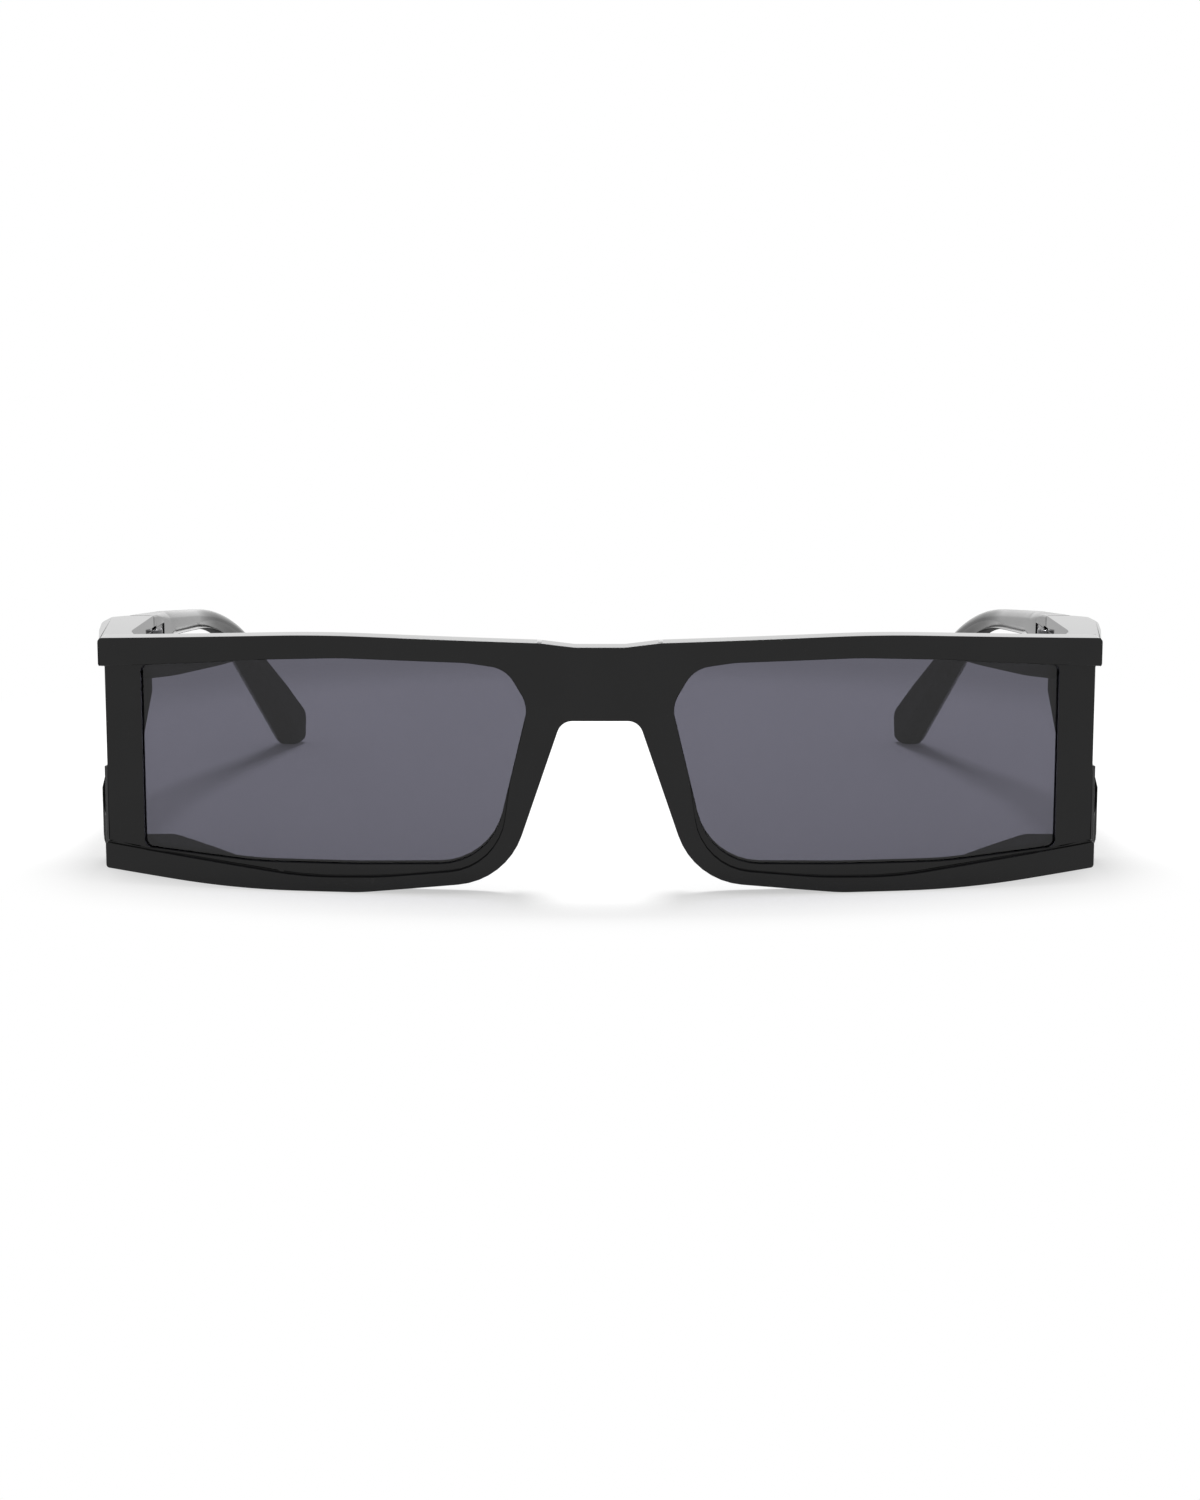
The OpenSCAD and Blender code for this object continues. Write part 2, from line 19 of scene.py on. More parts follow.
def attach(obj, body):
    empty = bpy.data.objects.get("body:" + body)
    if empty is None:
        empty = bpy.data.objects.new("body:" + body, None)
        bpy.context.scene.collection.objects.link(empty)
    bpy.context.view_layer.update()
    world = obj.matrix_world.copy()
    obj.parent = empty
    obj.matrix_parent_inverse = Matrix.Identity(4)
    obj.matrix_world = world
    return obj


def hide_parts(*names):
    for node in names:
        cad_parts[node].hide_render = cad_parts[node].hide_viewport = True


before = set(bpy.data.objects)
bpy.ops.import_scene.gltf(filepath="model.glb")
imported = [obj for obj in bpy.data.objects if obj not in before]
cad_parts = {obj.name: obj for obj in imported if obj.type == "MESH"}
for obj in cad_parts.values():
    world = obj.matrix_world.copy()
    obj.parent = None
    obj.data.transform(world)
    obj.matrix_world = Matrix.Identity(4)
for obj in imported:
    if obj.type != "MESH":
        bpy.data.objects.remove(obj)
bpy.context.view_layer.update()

log = logging.getLogger("sunglasses")
Array = np.ndarray
Corner = Sequence[float]
Feed = bpy.types.NodeSocket | Sequence[float] | float

MM = 0.001
# Points of a CAD copy that lie nearer than this count as one, in metres.
MERGE = 0.000002
# Share of a rounding's width beyond which a stray point goes back to the sharp shape.
STRAY = 0.7
# Weight of large faces over small ones in the shading, out of 100.
FACE_WEIGHT = 60
# Edges sharper than this many degrees are rounded on pieces with curved sides.
HARD_EDGE = 40.0

# How many times finer the second layer of the waviness is than the first.
FINER = 9.0
# Span of the noise over which handling marks grow from none to full.
MARK_SPAN = (0.38, 0.66)
# Patches to the metre that dust keeps to, and the noise below which a patch stays clean.
DUST_PATCHES, DUST_BARE = 240.0, 0.6
# Factors on X, Y and Z that draw noise out into lines along Y.
DRAWN_OUT = (1.0, 0.05, 1.0)


class Detail(Enum):
    """Number of finer layers in a noise."""

    SOFT = 1
    COARSE = 2
    MEDIUM = 3
    FINE = 4


class Side(Enum):
    """The wearer's left or right, with the sign of X."""

    LEFT = 1
    RIGHT = -1

    @property
    def word(self) -> str:
        """Word that starts the names of the pieces of this side."""
        return self.name.lower()

    @property
    def arm(self) -> str:
        """Body that turns on this side's hinge."""
        return f"{self.word}_arm"


@dataclass(frozen=True)
class Drawing:
    """Sizes that more than one sub-assembly shares, in millimetres."""

    bar_half_w: float = 72.5
    bar_top: float = 37.2
    bar_drop: float = 1.2
    bar_h: float = 4.2
    bar_face: float = 3.3
    overhang: float = 0.8
    front_t: float = 4.4
    wrap_r: float = 300.0
    recess: float = 1.0
    post_w: float = 5.4
    rim_h: float = 3.95
    bridge_h: float = 10.5
    nose_top_half: float = 5.5
    nose_low_half: float = 13.4
    nose_corner_r: float = 10.8
    flank_w: float = 4.7
    foot_w: float = 2.3
    wall_inset: float = 2.4
    root_t: float = 4.1
    side_drop: float = 1.4
    root_h: float = 10.3
    joint_y: float = 39.8
    wall_short: float = 10.3
    brace_top: float = 3.6
    window_rim: float = 4.2
    temple_l: float = 102.5
    drop_l: float = 42.8
    slim_h: float = 3.8
    tip_in: float = 8.1
    edge_r: float = 0.5

    @property
    def post_out(self) -> float:
        """Distance of the outer face of a post from the middle."""
        return self.bar_half_w - self.overhang

    @property
    def post_in(self) -> float:
        """Distance of the inner face of a post from the middle."""
        return self.post_out - self.post_w

    @property
    def side_in(self) -> float:
        """Distance of the inner face of a side wall from the middle."""
        return self.post_out - self.wall_inset

    @property
    def side_x(self) -> float:
        """Distance of the outer face of a temple root from the middle."""
        return self.side_in + self.root_t

    @property
    def side_top(self) -> float:
        """Height of the side walls and of the temple roots."""
        return self.bar_top - self.side_drop

    @property
    def root_low(self) -> float:
        """Height of the lower edge of a temple root."""
        return self.side_top - self.root_h

    @property
    def bar_low(self) -> float:
        """Height of the underside of the bar at its ends."""
        return self.bar_top - self.bar_drop - self.bar_h

    @property
    def lens_top(self) -> float:
        """Highest point of a lens opening."""
        return self.bar_top - self.bar_face

    @property
    def bridge_low(self) -> float:
        """Height of the underside of the bridge."""
        return self.bar_top - self.bar_drop * 1.25 - self.bridge_h

    @property
    def temple_end(self) -> float:
        """Depth of the temple tips."""
        return self.joint_y + self.temple_l

    @property
    def bend_y(self) -> float:
        """Depth of the bend of the temples."""
        return self.temple_end - self.drop_l

    def sag(self, x: Array | float, depth: Array | float = 0.0) -> Array | float:
        """Depth of the wrapped face at x, for a sheet that lies behind the face.

        The face is a cylinder: radius minus the root of the squared radius less x squared.

        Args:
            x: Distance from the middle.
            depth: How far the sheet lies behind the face.

        Returns:
            The depth Y at each x.
        """
        return self.wrap_r - np.sqrt((self.wrap_r - depth) ** 2 - np.square(x))


DRAWING = Drawing()


def lens_corners(d: Drawing) -> list[Corner]:
    """Clear opening in front of a lens. The factors set its corners on the drawing's lengths.

    Args:
        d: The drawing.

    Returns:
        The corners, counter-clockwise, with their radii.
    """
    return [
        (d.nose_low_half + d.foot_w, d.rim_h * 1.11, d.nose_corner_r * 0.88),
        (d.post_in * 0.53, d.rim_h, d.wrap_r * 0.2),
        (d.post_in * 0.75, d.rim_h, d.wrap_r * 0.2),
        (d.post_in, d.rim_h * 1.39, d.edge_r * 2),
        (d.post_in, d.lens_top - d.bar_drop * 1.5, d.edge_r * 2),
        (d.post_in * 0.754, d.lens_top - d.bar_drop * 0.4, d.wrap_r * 0.13),
        (d.post_in * 0.558, d.lens_top, d.wrap_r * 0.2),
        (d.post_in * 0.287, d.lens_top - d.bar_drop * 0.4, d.wrap_r * 0.067),
        (d.nose_top_half + d.flank_w * 1.66, d.lens_top - d.bar_drop * 1.08, d.edge_r * 9),
        (d.nose_top_half + d.flank_w, d.bridge_low + d.bridge_h * 0.2, d.edge_r * 9),
    ]


def step_corners(d: Drawing) -> list[Corner]:
    """Line under the lens where the lip steps back.

    Args:
        d: The drawing.

    Returns:
        The corners from nose to post.
    """
    return [
        (d.nose_top_half + d.flank_w * 1.45, d.bridge_low * 0.79),
        (d.nose_low_half + d.foot_w * 0.5, d.rim_h, d.nose_corner_r * 0.83),
        (d.bar_half_w * 0.434, d.rim_h * 0.58, d.wrap_r * 0.2),
        (d.bar_half_w * 0.586, d.rim_h * 0.52, d.wrap_r * 0.2),
        (d.bar_half_w, d.rim_h * 1.58),
    ]


# Flat outlines


def unit(v: Array) -> Array:
    """Vector v at length one."""
    return v / np.linalg.norm(v)


def fillet(before: Array, at: Array, after: Array, radius: float, steps: int) -> Array:
    """Points of one rounded corner.

    The centre lies on the bisector at radius over the sine of the half angle, and the
    points follow the circle from one tangent point to the other.

    Args:
        before: Corner before this one.
        at: The sharp corner.
        after: Corner after this one.
        radius: Radius of the arc.
        steps: Number of steps along the arc.

    Returns:
        An array of points in the order of travel.
    """
    u, v = unit(before - at), unit(after - at)
    half = math.acos(float(np.clip(u @ v, -1, 1))) / 2
    centre = at + unit(u + v) * radius / math.sin(half)
    reach = radius / math.tan(half)
    start, stop = at + u * reach - centre, at + v * reach - centre
    first = math.atan2(start[1], start[0])
    turn = (math.atan2(stop[1], stop[0]) - first + math.pi) % (2 * math.pi) - math.pi
    angle = first + turn * np.linspace(0, 1, steps + 1)
    return centre + radius * np.stack([np.cos(angle), np.sin(angle)], axis=1)


def outline(corners: Sequence[Corner], closed: bool = True, steps: int = 16) -> Array:
    """Outline through corners that may have a radius as their third number.

    Args:
        corners: Corners in order, as (a, b) or (a, b, radius).
        closed: Whether the last corner leads back to the first.
        steps: Number of steps in each rounded corner.

    Returns:
        The points of the outline.
    """
    flat = [np.array(c[:2], float) for c in corners]
    count, parts = len(corners), []
    for i, corner in enumerate(corners):
        ends = not closed and i in (0, count - 1)
        if len(corner) > 2 and corner[2] > 0 and not ends:
            parts.append(fillet(flat[i - 1], flat[i], flat[(i + 1) % count], corner[2], steps))
        else:
            parts.append(flat[i][None])
    return np.concatenate(parts)


def grown(corners: Sequence[Corner], gap: float) -> list[tuple[float, float, float]]:
    """Corners of a counter-clockwise outline, all moved outwards.

    Each corner moves by the gap times the sum of the outward normals of its two sides, over
    one plus their dot product.

    Args:
        corners: Corners in order.
        gap: Distance of the new outline from the old one.

    Returns:
        The moved corners, each with its new radius.
    """
    result = []
    for i, corner in enumerate(corners):
        p = np.array(corner[:2], float)
        a = np.array(corners[i - 1][:2], float)
        b = np.array(corners[(i + 1) % len(corners)][:2], float)
        d1, d2 = unit(p - a), unit(b - p)
        n1, n2 = np.array([d1[1], -d1[0]]), np.array([d2[1], -d2[0]])
        q = p + gap * (n1 + n2) / (1 + n1 @ n2)
        outer = d1[0] * d2[1] - d1[1] * d2[0] > 0
        radius = max(corner[2] + (gap if outer else -gap), DRAWING.edge_r / 2)
        result.append((float(q[0]), float(q[1]), radius))
    return result


def spaced(points: Array, count: int, closed: bool = False) -> Array:
    """Points spread evenly along a polyline.

    Args:
        points: Points of the polyline.
        count: Number of points wanted.
        closed: Whether the polyline leads back to its start.

    Returns:
        The evenly spread points.
    """
    line = np.vstack([points, points[:1]]) if closed else points
    run = np.concatenate([[0], np.cumsum(np.linalg.norm(np.diff(line, axis=0), axis=1))])
    at = np.linspace(0, run[-1], count, endpoint=not closed)
    return np.stack([np.interp(at, run, line[:, k]) for k in range(2)], axis=1)


# Meshes


def linked(name: str, data: bpy.types.ID) -> bpy.types.Object:
    """New object that holds the data, linked to the scene.

    Args:
        name: Name of the object.
        data: Its mesh, lamp or camera.

    Returns:
        The object.
    """
    thing = bpy.data.objects.new(name, data)
    bpy.context.scene.collection.objects.link(thing)
    return thing


def smooth_object(name: str, mesh: bpy.types.Mesh) -> bpy.types.Object:
    """New object from a mesh, with all its faces smooth."""
    mesh.polygons.foreach_set("use_smooth", np.ones(len(mesh.polygons), bool))
    return linked(name, mesh)


def face_places(mesh: bpy.types.Mesh) -> tuple[Array, Array]:
    """Directions and places of the faces of a finished mesh.

    Args:
        mesh: The mesh.

    Returns:
        The normals, and the centres in drawing millimetres, one face in each row.
    """
    normal, centre = np.empty((2, len(mesh.polygons) * 3))
    mesh.polygons.foreach_get("normal", normal)
    mesh.polygons.foreach_get("center", centre)
    shift = [0, DRAWING.temple_end / 2, 0]
    return normal.reshape(-1, 3), centre.reshape(-1, 3) / MM + shift


def grid_faces(rows: int, cols: int) -> Array:
    """Quads of a grid whose rows close round on themselves.

    Args:
        rows: Number of rings.
        cols: Number of points in each ring.

    Returns:
        Indices of the corners, one quad in each row.
    """
    r, c = np.meshgrid(np.arange(rows - 1), np.arange(cols), indexing="ij")
    nxt = (c + 1) % cols
    return np.stack([r * cols + c, r * cols + nxt, (r + 1) * cols + nxt, (r + 1) * cols + c],
                    axis=-1).reshape(-1, 4)


def tube_object(name: str, rings: Array, sharp: float = 180.0) -> bpy.types.Object:
    """Closed skin through rings of points, with a fan at each end.

    The faces are turned round where the volume under them, a sixth of the sum of their
    corners' triple products, comes out negative, as on a mirrored piece.

    Args:
        name: Name of the piece.
        rings: Points as (ring, point on the ring, coordinate), in millimetres.
        sharp: Edges sharper than this many degrees stay sharp, so that the wide faces beside
            them keep true to their curve.

    Returns:
        The new object, at the origin.
    """
    rows, cols = rings.shape[:2]
    poles = rings[[0, -1]].mean(axis=1)
    points = np.vstack([rings.reshape(-1, 3), poles])
    quads = grid_faces(rows, cols)
    here = np.arange(cols)
    nxt = (here + 1) % cols
    first = np.stack([nxt, here, np.full(cols, rows * cols)], axis=1)
    last = (rows - 1) * cols
    end = np.stack([last + here, last + nxt, np.full(cols, rows * cols + 1)], axis=1)
    triangles = np.vstack([quads[:, :3], quads[:, [0, 2, 3]], first, end])
    a, b, c = (points[triangles[:, k]] for k in range(3))
    if np.einsum("ij,ij->", a, np.cross(b, c)) < 0:
        quads, first, end = quads[:, ::-1], first[:, ::-1], end[:, ::-1]
    piece = new_object(name, points, [*quads.tolist(), *first.tolist(), *end.tolist()])
    piece.data.set_sharp_from_angle(angle=math.radians(sharp))
    return piece


def new_object(name: str, points: Array, faces: list[list[int]]) -> bpy.types.Object:
    """Object from points in drawing millimetres, smooth and linked to the scene.

    Args:
        name: Name of the piece.
        points: Points, one in each row.
        faces: Lists of point numbers.

    Returns:
        The new object, whose place is in its mesh.
    """
    placed = (points - [0, DRAWING.temple_end / 2, 0]) * MM
    mesh = bpy.data.meshes.new(name)
    mesh.from_pydata(placed.tolist(), [], faces)
    mesh.validate()
    return smooth_object(name, mesh)


def merged_copy(node: str, name: str, flat: float = 0.2) -> bpy.types.Object:
    """Copy of a CAD node with its loose triangles merged and its flat faces joined.

    Args:
        node: Name of the CAD node.
        name: Name of the copy.
        flat: Angle in degrees under which neighbouring faces count as one.

    Returns:
        The copy, at the origin.
    """
    shape = bmesh.new()
    shape.from_mesh(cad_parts[node].data)
    bmesh.ops.remove_doubles(shape, verts=shape.verts, dist=MERGE)
    bmesh.ops.dissolve_degenerate(shape, edges=shape.edges, dist=MERGE)
    bmesh.ops.dissolve_limit(shape, angle_limit=math.radians(flat), verts=shape.verts,
                             edges=shape.edges, use_dissolve_boundaries=False)
    mesh = bpy.data.meshes.new(name)
    shape.to_mesh(mesh)
    shape.free()
    if "custom_normal" in mesh.attributes:
        mesh.attributes.remove(mesh.attributes["custom_normal"])
    mesh.materials.clear()
    return smooth_object(name, mesh)


def applied(piece: bpy.types.Object) -> bpy.types.Mesh:
    """Mesh of a piece with its modifiers applied."""
    graph = bpy.context.evaluated_depsgraph_get()
    return bpy.data.meshes.new_from_object(piece.evaluated_get(graph))


def soften(piece: bpy.types.Object, width: float, segments: int = 2, angle: float = 32.0) -> None:
    """Round the sharp edges of a piece and keep its faces smooth.

    Where edges crowd together the rounding can throw a point off the piece. A point that
    lies too far from the sharp shape goes back to the nearest place on it.

    Args:
        piece: The piece.
        width: Width of the rounding in millimetres.
        segments: Number of steps across the rounding.
        angle: Edges sharper than this many degrees are rounded.
    """
    sharp = piece.data
    points = np.empty(len(sharp.vertices) * 3)
    sharp.vertices.foreach_get("co", points)
    nearest = BVHTree.FromPolygons(points.reshape(-1, 3).tolist(),
                                   [list(face.vertices) for face in sharp.polygons])
    bevel = piece.modifiers.new("Rounded edges", "BEVEL")
    bevel.width = width * MM
    bevel.segments = segments
    bevel.limit_method = "ANGLE"
    bevel.angle_limit = math.radians(angle)
    bevel.use_clamp_overlap = False
    bevel.miter_outer = "MITER_ARC"
    round_mesh = applied(piece)
    piece.modifiers.remove(bevel)
    moved = np.empty(len(round_mesh.vertices) * 3)
    round_mesh.vertices.foreach_get("co", moved)
    moved = moved.reshape(-1, 3)
    found = [nearest.find_nearest(place) for place in moved.tolist()]
    home = np.array([hit[0] for hit in found])
    away = np.array([hit[3] for hit in found]) > width * MM * STRAY
    moved[away] = home[away]
    round_mesh.vertices.foreach_set("co", moved.ravel())
    piece.data = round_mesh
    log.info("%s: %d of %d points brought back", piece.name, away.sum(), len(away))
    weighted = piece.modifiers.new("Even shading", "WEIGHTED_NORMAL")
    weighted.mode = "FACE_AREA"
    weighted.weight = FACE_WEIGHT
    weighted.keep_sharp = True


def carve(piece: bpy.types.Object, low: Corner, high: Corner, side: Side) -> None:
    """Cut a box out of a piece, given for the wearer's left.

    Args:
        piece: The piece.
        low: Lowest corner of the box in drawing millimetres.
        high: Highest corner of the box.
        side: Side on which the piece lies.
    """
    a, b = np.array(low, float), np.array(high, float)
    pick = np.array([[x, y, z] for x in (0, 1) for y in (0, 1) for z in (0, 1)])
    points = a + (b - a) * pick
    points[:, 0] *= side.value
    # The six sides of the box, each as the numbers of its corners.
    faces = [[0, 1, 3, 2], [4, 6, 7, 5], [0, 4, 5, 1], [2, 3, 7, 6], [0, 2, 6, 4], [1, 5, 7, 3]]
    if side is Side.RIGHT:
        faces = [f[::-1] for f in faces]
    cutter = new_object("cutter", points, faces)
    cut = piece.modifiers.new("Pocket", "BOOLEAN")
    cut.object = cutter
    cut.solver = "EXACT"
    carved = applied(piece)
    piece.modifiers.remove(cut)
    piece.data = carved
    bpy.data.objects.remove(cutter)


# Shader effects that several finishes share


def add_node(tree: bpy.types.NodeTree, kind: str, feeds: dict[str | int, Feed],
             **settings: str | bpy.types.NodeTree) -> bpy.types.Node:
    """Node with its settings made and its inputs set or linked.

    Args:
        tree: Tree that gets the node.
        kind: Type of the node.
        feeds: A value or an output socket for each input that isn't left alone.
        **settings: The node's own settings.

    Returns:
        The node.
    """
    node = tree.nodes.new(kind)
    for word, value in settings.items():
        setattr(node, word, value)
    for place, value in feeds.items():
        if isinstance(value, bpy.types.NodeSocket):
            tree.links.new(value, node.inputs[place])
        else:
            node.inputs[place].default_value = value
    return node


def mixed(tree: bpy.types.NodeTree, share: Feed, first: Feed, second: Feed
          ) -> bpy.types.NodeSocket:
    """Mix of two colours, where the share is that of the second."""
    feeds = {"Factor": share, "A": first, "B": second}
    return add_node(tree, "ShaderNodeMix", feeds, data_type="RGBA").outputs["Result"]


def math_node(tree: bpy.types.NodeTree, operation: str, *values: Feed) -> bpy.types.NodeSocket:
    """Result of a math node fed with numbers or sockets."""
    feeds = dict(enumerate(values))
    return add_node(tree, "ShaderNodeMath", feeds, operation=operation).outputs[0]


def noise_node(tree: bpy.types.NodeTree, scale: Feed, detail: Detail,
               stretch: Corner = (1, 1, 1)) -> bpy.types.NodeSocket:
    """Noise on Object coordinates.

    Args:
        tree: Tree that gets the nodes.
        scale: Number or socket, in patches to the metre.
        detail: Its finer layers.
        stretch: Factors on X, Y and Z.

    Returns:
        The noise's value socket.
    """
    place = add_node(tree, "ShaderNodeTexCoord", {}).outputs["Object"]
    mapping = add_node(tree, "ShaderNodeMapping", {"Vector": place, "Scale": stretch})
    feeds = {"Vector": mapping.outputs["Vector"], "Scale": scale, "Detail": detail.value}
    return add_node(tree, "ShaderNodeTexNoise", feeds).outputs["Fac"]


def fill_waviness(tree: bpy.types.NodeTree, start: bpy.types.Node, end: bpy.types.Node) -> None:
    """Moulding waviness: coarse noise plus a share of fine noise.

    Args:
        tree: The group.
        start: Its input node.
        end: Its output node.
    """
    coarse = noise_node(tree, start.outputs["Scale"], Detail.COARSE)
    finer = math_node(tree, "MULTIPLY", start.outputs["Scale"], FINER)
    fine = noise_node(tree, finer, Detail.MEDIUM)
    share = math_node(tree, "MULTIPLY", fine, start.outputs["Grain"])
    tree.links.new(math_node(tree, "ADD", coarse, share), end.inputs[0])


def fill_patches(tree: bpy.types.NodeTree, start: bpy.types.Node, end: bpy.types.Node) -> None:
    """Handling marks: a value between Low and High that wanders in soft patches.

    Args:
        tree: The group.
        start: Its input node.
        end: Its output node.
    """
    ramp = add_node(tree, "ShaderNodeMapRange", {
        "Value": noise_node(tree, start.outputs["Scale"], Detail.FINE),
        "From Min": MARK_SPAN[0], "From Max": MARK_SPAN[1],
        "To Min": start.outputs["Low"], "To Max": start.outputs["High"]})
    tree.links.new(ramp.outputs["Result"], end.inputs[0])


def fill_specks(tree: bpy.types.NodeTree, start: bpy.types.Node, end: bpy.types.Node) -> None:
    """Dust specks: 1 on small rounded cells that lie thinly spread, 0 between them.

    Args:
        tree: The group.
        start: Its input node.
        end: Its output node.
    """
    place = add_node(tree, "ShaderNodeTexCoord", {}).outputs["Object"]
    cells = add_node(tree, "ShaderNodeTexVoronoi", {
        "Vector": place, "Scale": start.outputs["Scale"]})
    near = math_node(tree, "LESS_THAN", cells.outputs["Distance"], start.outputs["Size"])
    spread = noise_node(tree, DUST_PATCHES, Detail.SOFT)
    rare = math_node(tree, "GREATER_THAN", spread, DUST_BARE)
    tree.links.new(math_node(tree, "MULTIPLY", near, rare), end.inputs[0])


def fill_brushing(tree: bpy.types.NodeTree, start: bpy.types.Node, end: bpy.types.Node) -> None:
    """Brushing: noise drawn out along Y into fine lines."""
    lines = noise_node(tree, start.outputs["Scale"], Detail.MEDIUM, DRAWN_OUT)
    tree.links.new(lines, end.inputs[0])


class Effect(Enum):
    """Effects that several finishes share, each a shader node group.

    A member holds the group's name, its inputs with their defaults, its output, and the
    function that fills it between its input and output nodes.
    """

    WAVINESS = ("moulding waviness", {"Scale": 300, "Grain": 0.1}, "Height", fill_waviness)
    PATCHES = ("handling marks", {"Scale": 60, "Low": 0.1, "High": 0.2}, "Value", fill_patches)
    SPECKS = ("dust specks", {"Scale": 1800, "Size": 0.08}, "Mask", fill_specks)
    BRUSHING = ("brushed lines", {"Scale": 9000}, "Height", fill_brushing)

    def group(self) -> bpy.types.NodeTree:
        """Node group of this effect, built once.

        Returns:
            The group.
        """
        name, inputs, output, fill = self.value
        if name in bpy.data.node_groups:
            return bpy.data.node_groups[name]
        tree = bpy.data.node_groups.new(name, "ShaderNodeTree")
        for word, value in inputs.items():
            socket = tree.interface.new_socket(word, in_out="INPUT", socket_type="NodeSocketFloat")
            socket.default_value = value
        tree.interface.new_socket(output, in_out="OUTPUT", socket_type="NodeSocketFloat")
        fill(tree, tree.nodes.new("NodeGroupInput"), tree.nodes.new("NodeGroupOutput"))
        return tree


@dataclass(frozen=True)
class Finish:
    """A surface finish: one Principled shader whose colour, gloss and relief vary a little."""

    name: str
    colour: tuple[float, float, float]
    tone: float = 1.3
    rough: tuple[float, float] = (0.1, 0.2)
    patch_scale: float = 60.0
    bump: float = 0.05
    bump_depth: float = 0.00002
    metallic: float = 0.0
    specular: float = 0.5
    wave_scale: float = 420.0
    grain: float = 0.06

    def height(self, tree: bpy.types.NodeTree) -> bpy.types.NodeSocket:
        """Height for the bump, from the moulding waviness."""
        return self.use(tree, Effect.WAVINESS, Scale=self.wave_scale, Grain=self.grain)

    @staticmethod
    def use(tree: bpy.types.NodeTree, effect: Effect, **values: float) -> bpy.types.NodeSocket:
        """Output of an effect's group node with its inputs set by name."""
        return add_node(tree, "ShaderNodeGroup", values, node_tree=effect.group()).outputs[0]

    def build(self) -> bpy.types.Material:
        """Material of this finish, built once.

        Returns:
            The material.
        """
        if self.name in bpy.data.materials:
            return bpy.data.materials[self.name]
        material = bpy.data.materials.new(self.name)
        material.use_nodes = True
        tree = material.node_tree
        shader = tree.nodes["Principled BSDF"]
        shader.inputs["Metallic"].default_value = self.metallic
        shader.inputs["Specular IOR Level"].default_value = self.specular
        gloss = self.use(tree, Effect.PATCHES, Scale=self.patch_scale,
                         Low=self.rough[0], High=self.rough[1])
        tree.links.new(gloss, shader.inputs["Roughness"])
        toned = (*(min(c * self.tone, 1) for c in self.colour), 1)
        fade = self.use(tree, Effect.PATCHES, Scale=self.patch_scale * 2, Low=0.0, High=1.0)
        shade = mixed(tree, fade, (*self.colour, 1), toned)
        tree.links.new(shade, shader.inputs["Base Color"])
        bump = add_node(tree, "ShaderNodeBump", {
            "Strength": self.bump, "Distance": self.bump_depth, "Height": self.height(tree)})
        tree.links.new(bump.outputs["Normal"], shader.inputs["Normal"])
        self.complete(tree, shader)
        return material

    def complete(self, tree: bpy.types.NodeTree, shader: bpy.types.Node) -> None:
        """Add what only this finish has."""


@dataclass(frozen=True)
class MouldedPlastic(Finish):
    """Black plastic with a few dust specks."""

    bump_depth: float = 0.00003
    dust: tuple[float, float, float] = (0.09, 0.09, 0.088)
    dust_scale: float = 1500.0
    dust_size: float = 0.06
    dust_share: float = 0.5

    def complete(self, tree: bpy.types.NodeTree, shader: bpy.types.Node) -> None:
        """Lighten the colour a little where a speck of dust lies.

        Args:
            tree: The material's tree.
            shader: Its shader.
        """
        mask = self.use(tree, Effect.SPECKS, Scale=self.dust_scale, Size=self.dust_size)
        faint = math_node(tree, "MULTIPLY", mask, self.dust_share)
        clean = shader.inputs["Base Color"].links[0].from_socket
        dusty = mixed(tree, faint, clean, (*self.dust, 1))
        tree.links.new(dusty, shader.inputs["Base Color"])


@dataclass(frozen=True)
class BrushedMetal(Finish):
    """Steel with fine lines along its length."""

    bump_depth: float = 0.00001
    metallic: float = 1.0
    line_scale: float = 9000.0

    def height(self, tree: bpy.types.NodeTree) -> bpy.types.NodeSocket:
        """Height for the bump, from the brushed lines."""
        return self.use(tree, Effect.BRUSHING, Scale=self.line_scale)


@dataclass(frozen=True)
class TintedLens(Finish):
    """Smoke tinted lens, waved very slowly, that lets light through to the floor."""

    tone: float = 1.02
    bump: float = 0.01
    bump_depth: float = 0.00001
    wave_scale: float = 25.0
    grain: float = 0.0
    ior: float = 1.39

    def complete(self, tree: bpy.types.NodeTree, shader: bpy.types.Node) -> None:
        """Make the shader a glass, and let shadow rays through with the tint.

        Args:
            tree: The material's tree.
            shader: Its shader.
        """
        shader.inputs["Transmission Weight"].default_value = 1.0
        shader.inputs["IOR"].default_value = self.ior
        tint = (*(math.sqrt(c) for c in self.colour), 1)
        clear = add_node(tree, "ShaderNodeBsdfTransparent", {"Color": tint})
        path = add_node(tree, "ShaderNodeLightPath", {})
        mix = add_node(tree, "ShaderNodeMixShader", {
            "Fac": path.outputs["Is Shadow Ray"], 1: shader.outputs["BSDF"],
            2: clear.outputs["BSDF"]})
        tree.links.new(mix.outputs["Shader"], tree.nodes["Material Output"].inputs["Surface"])


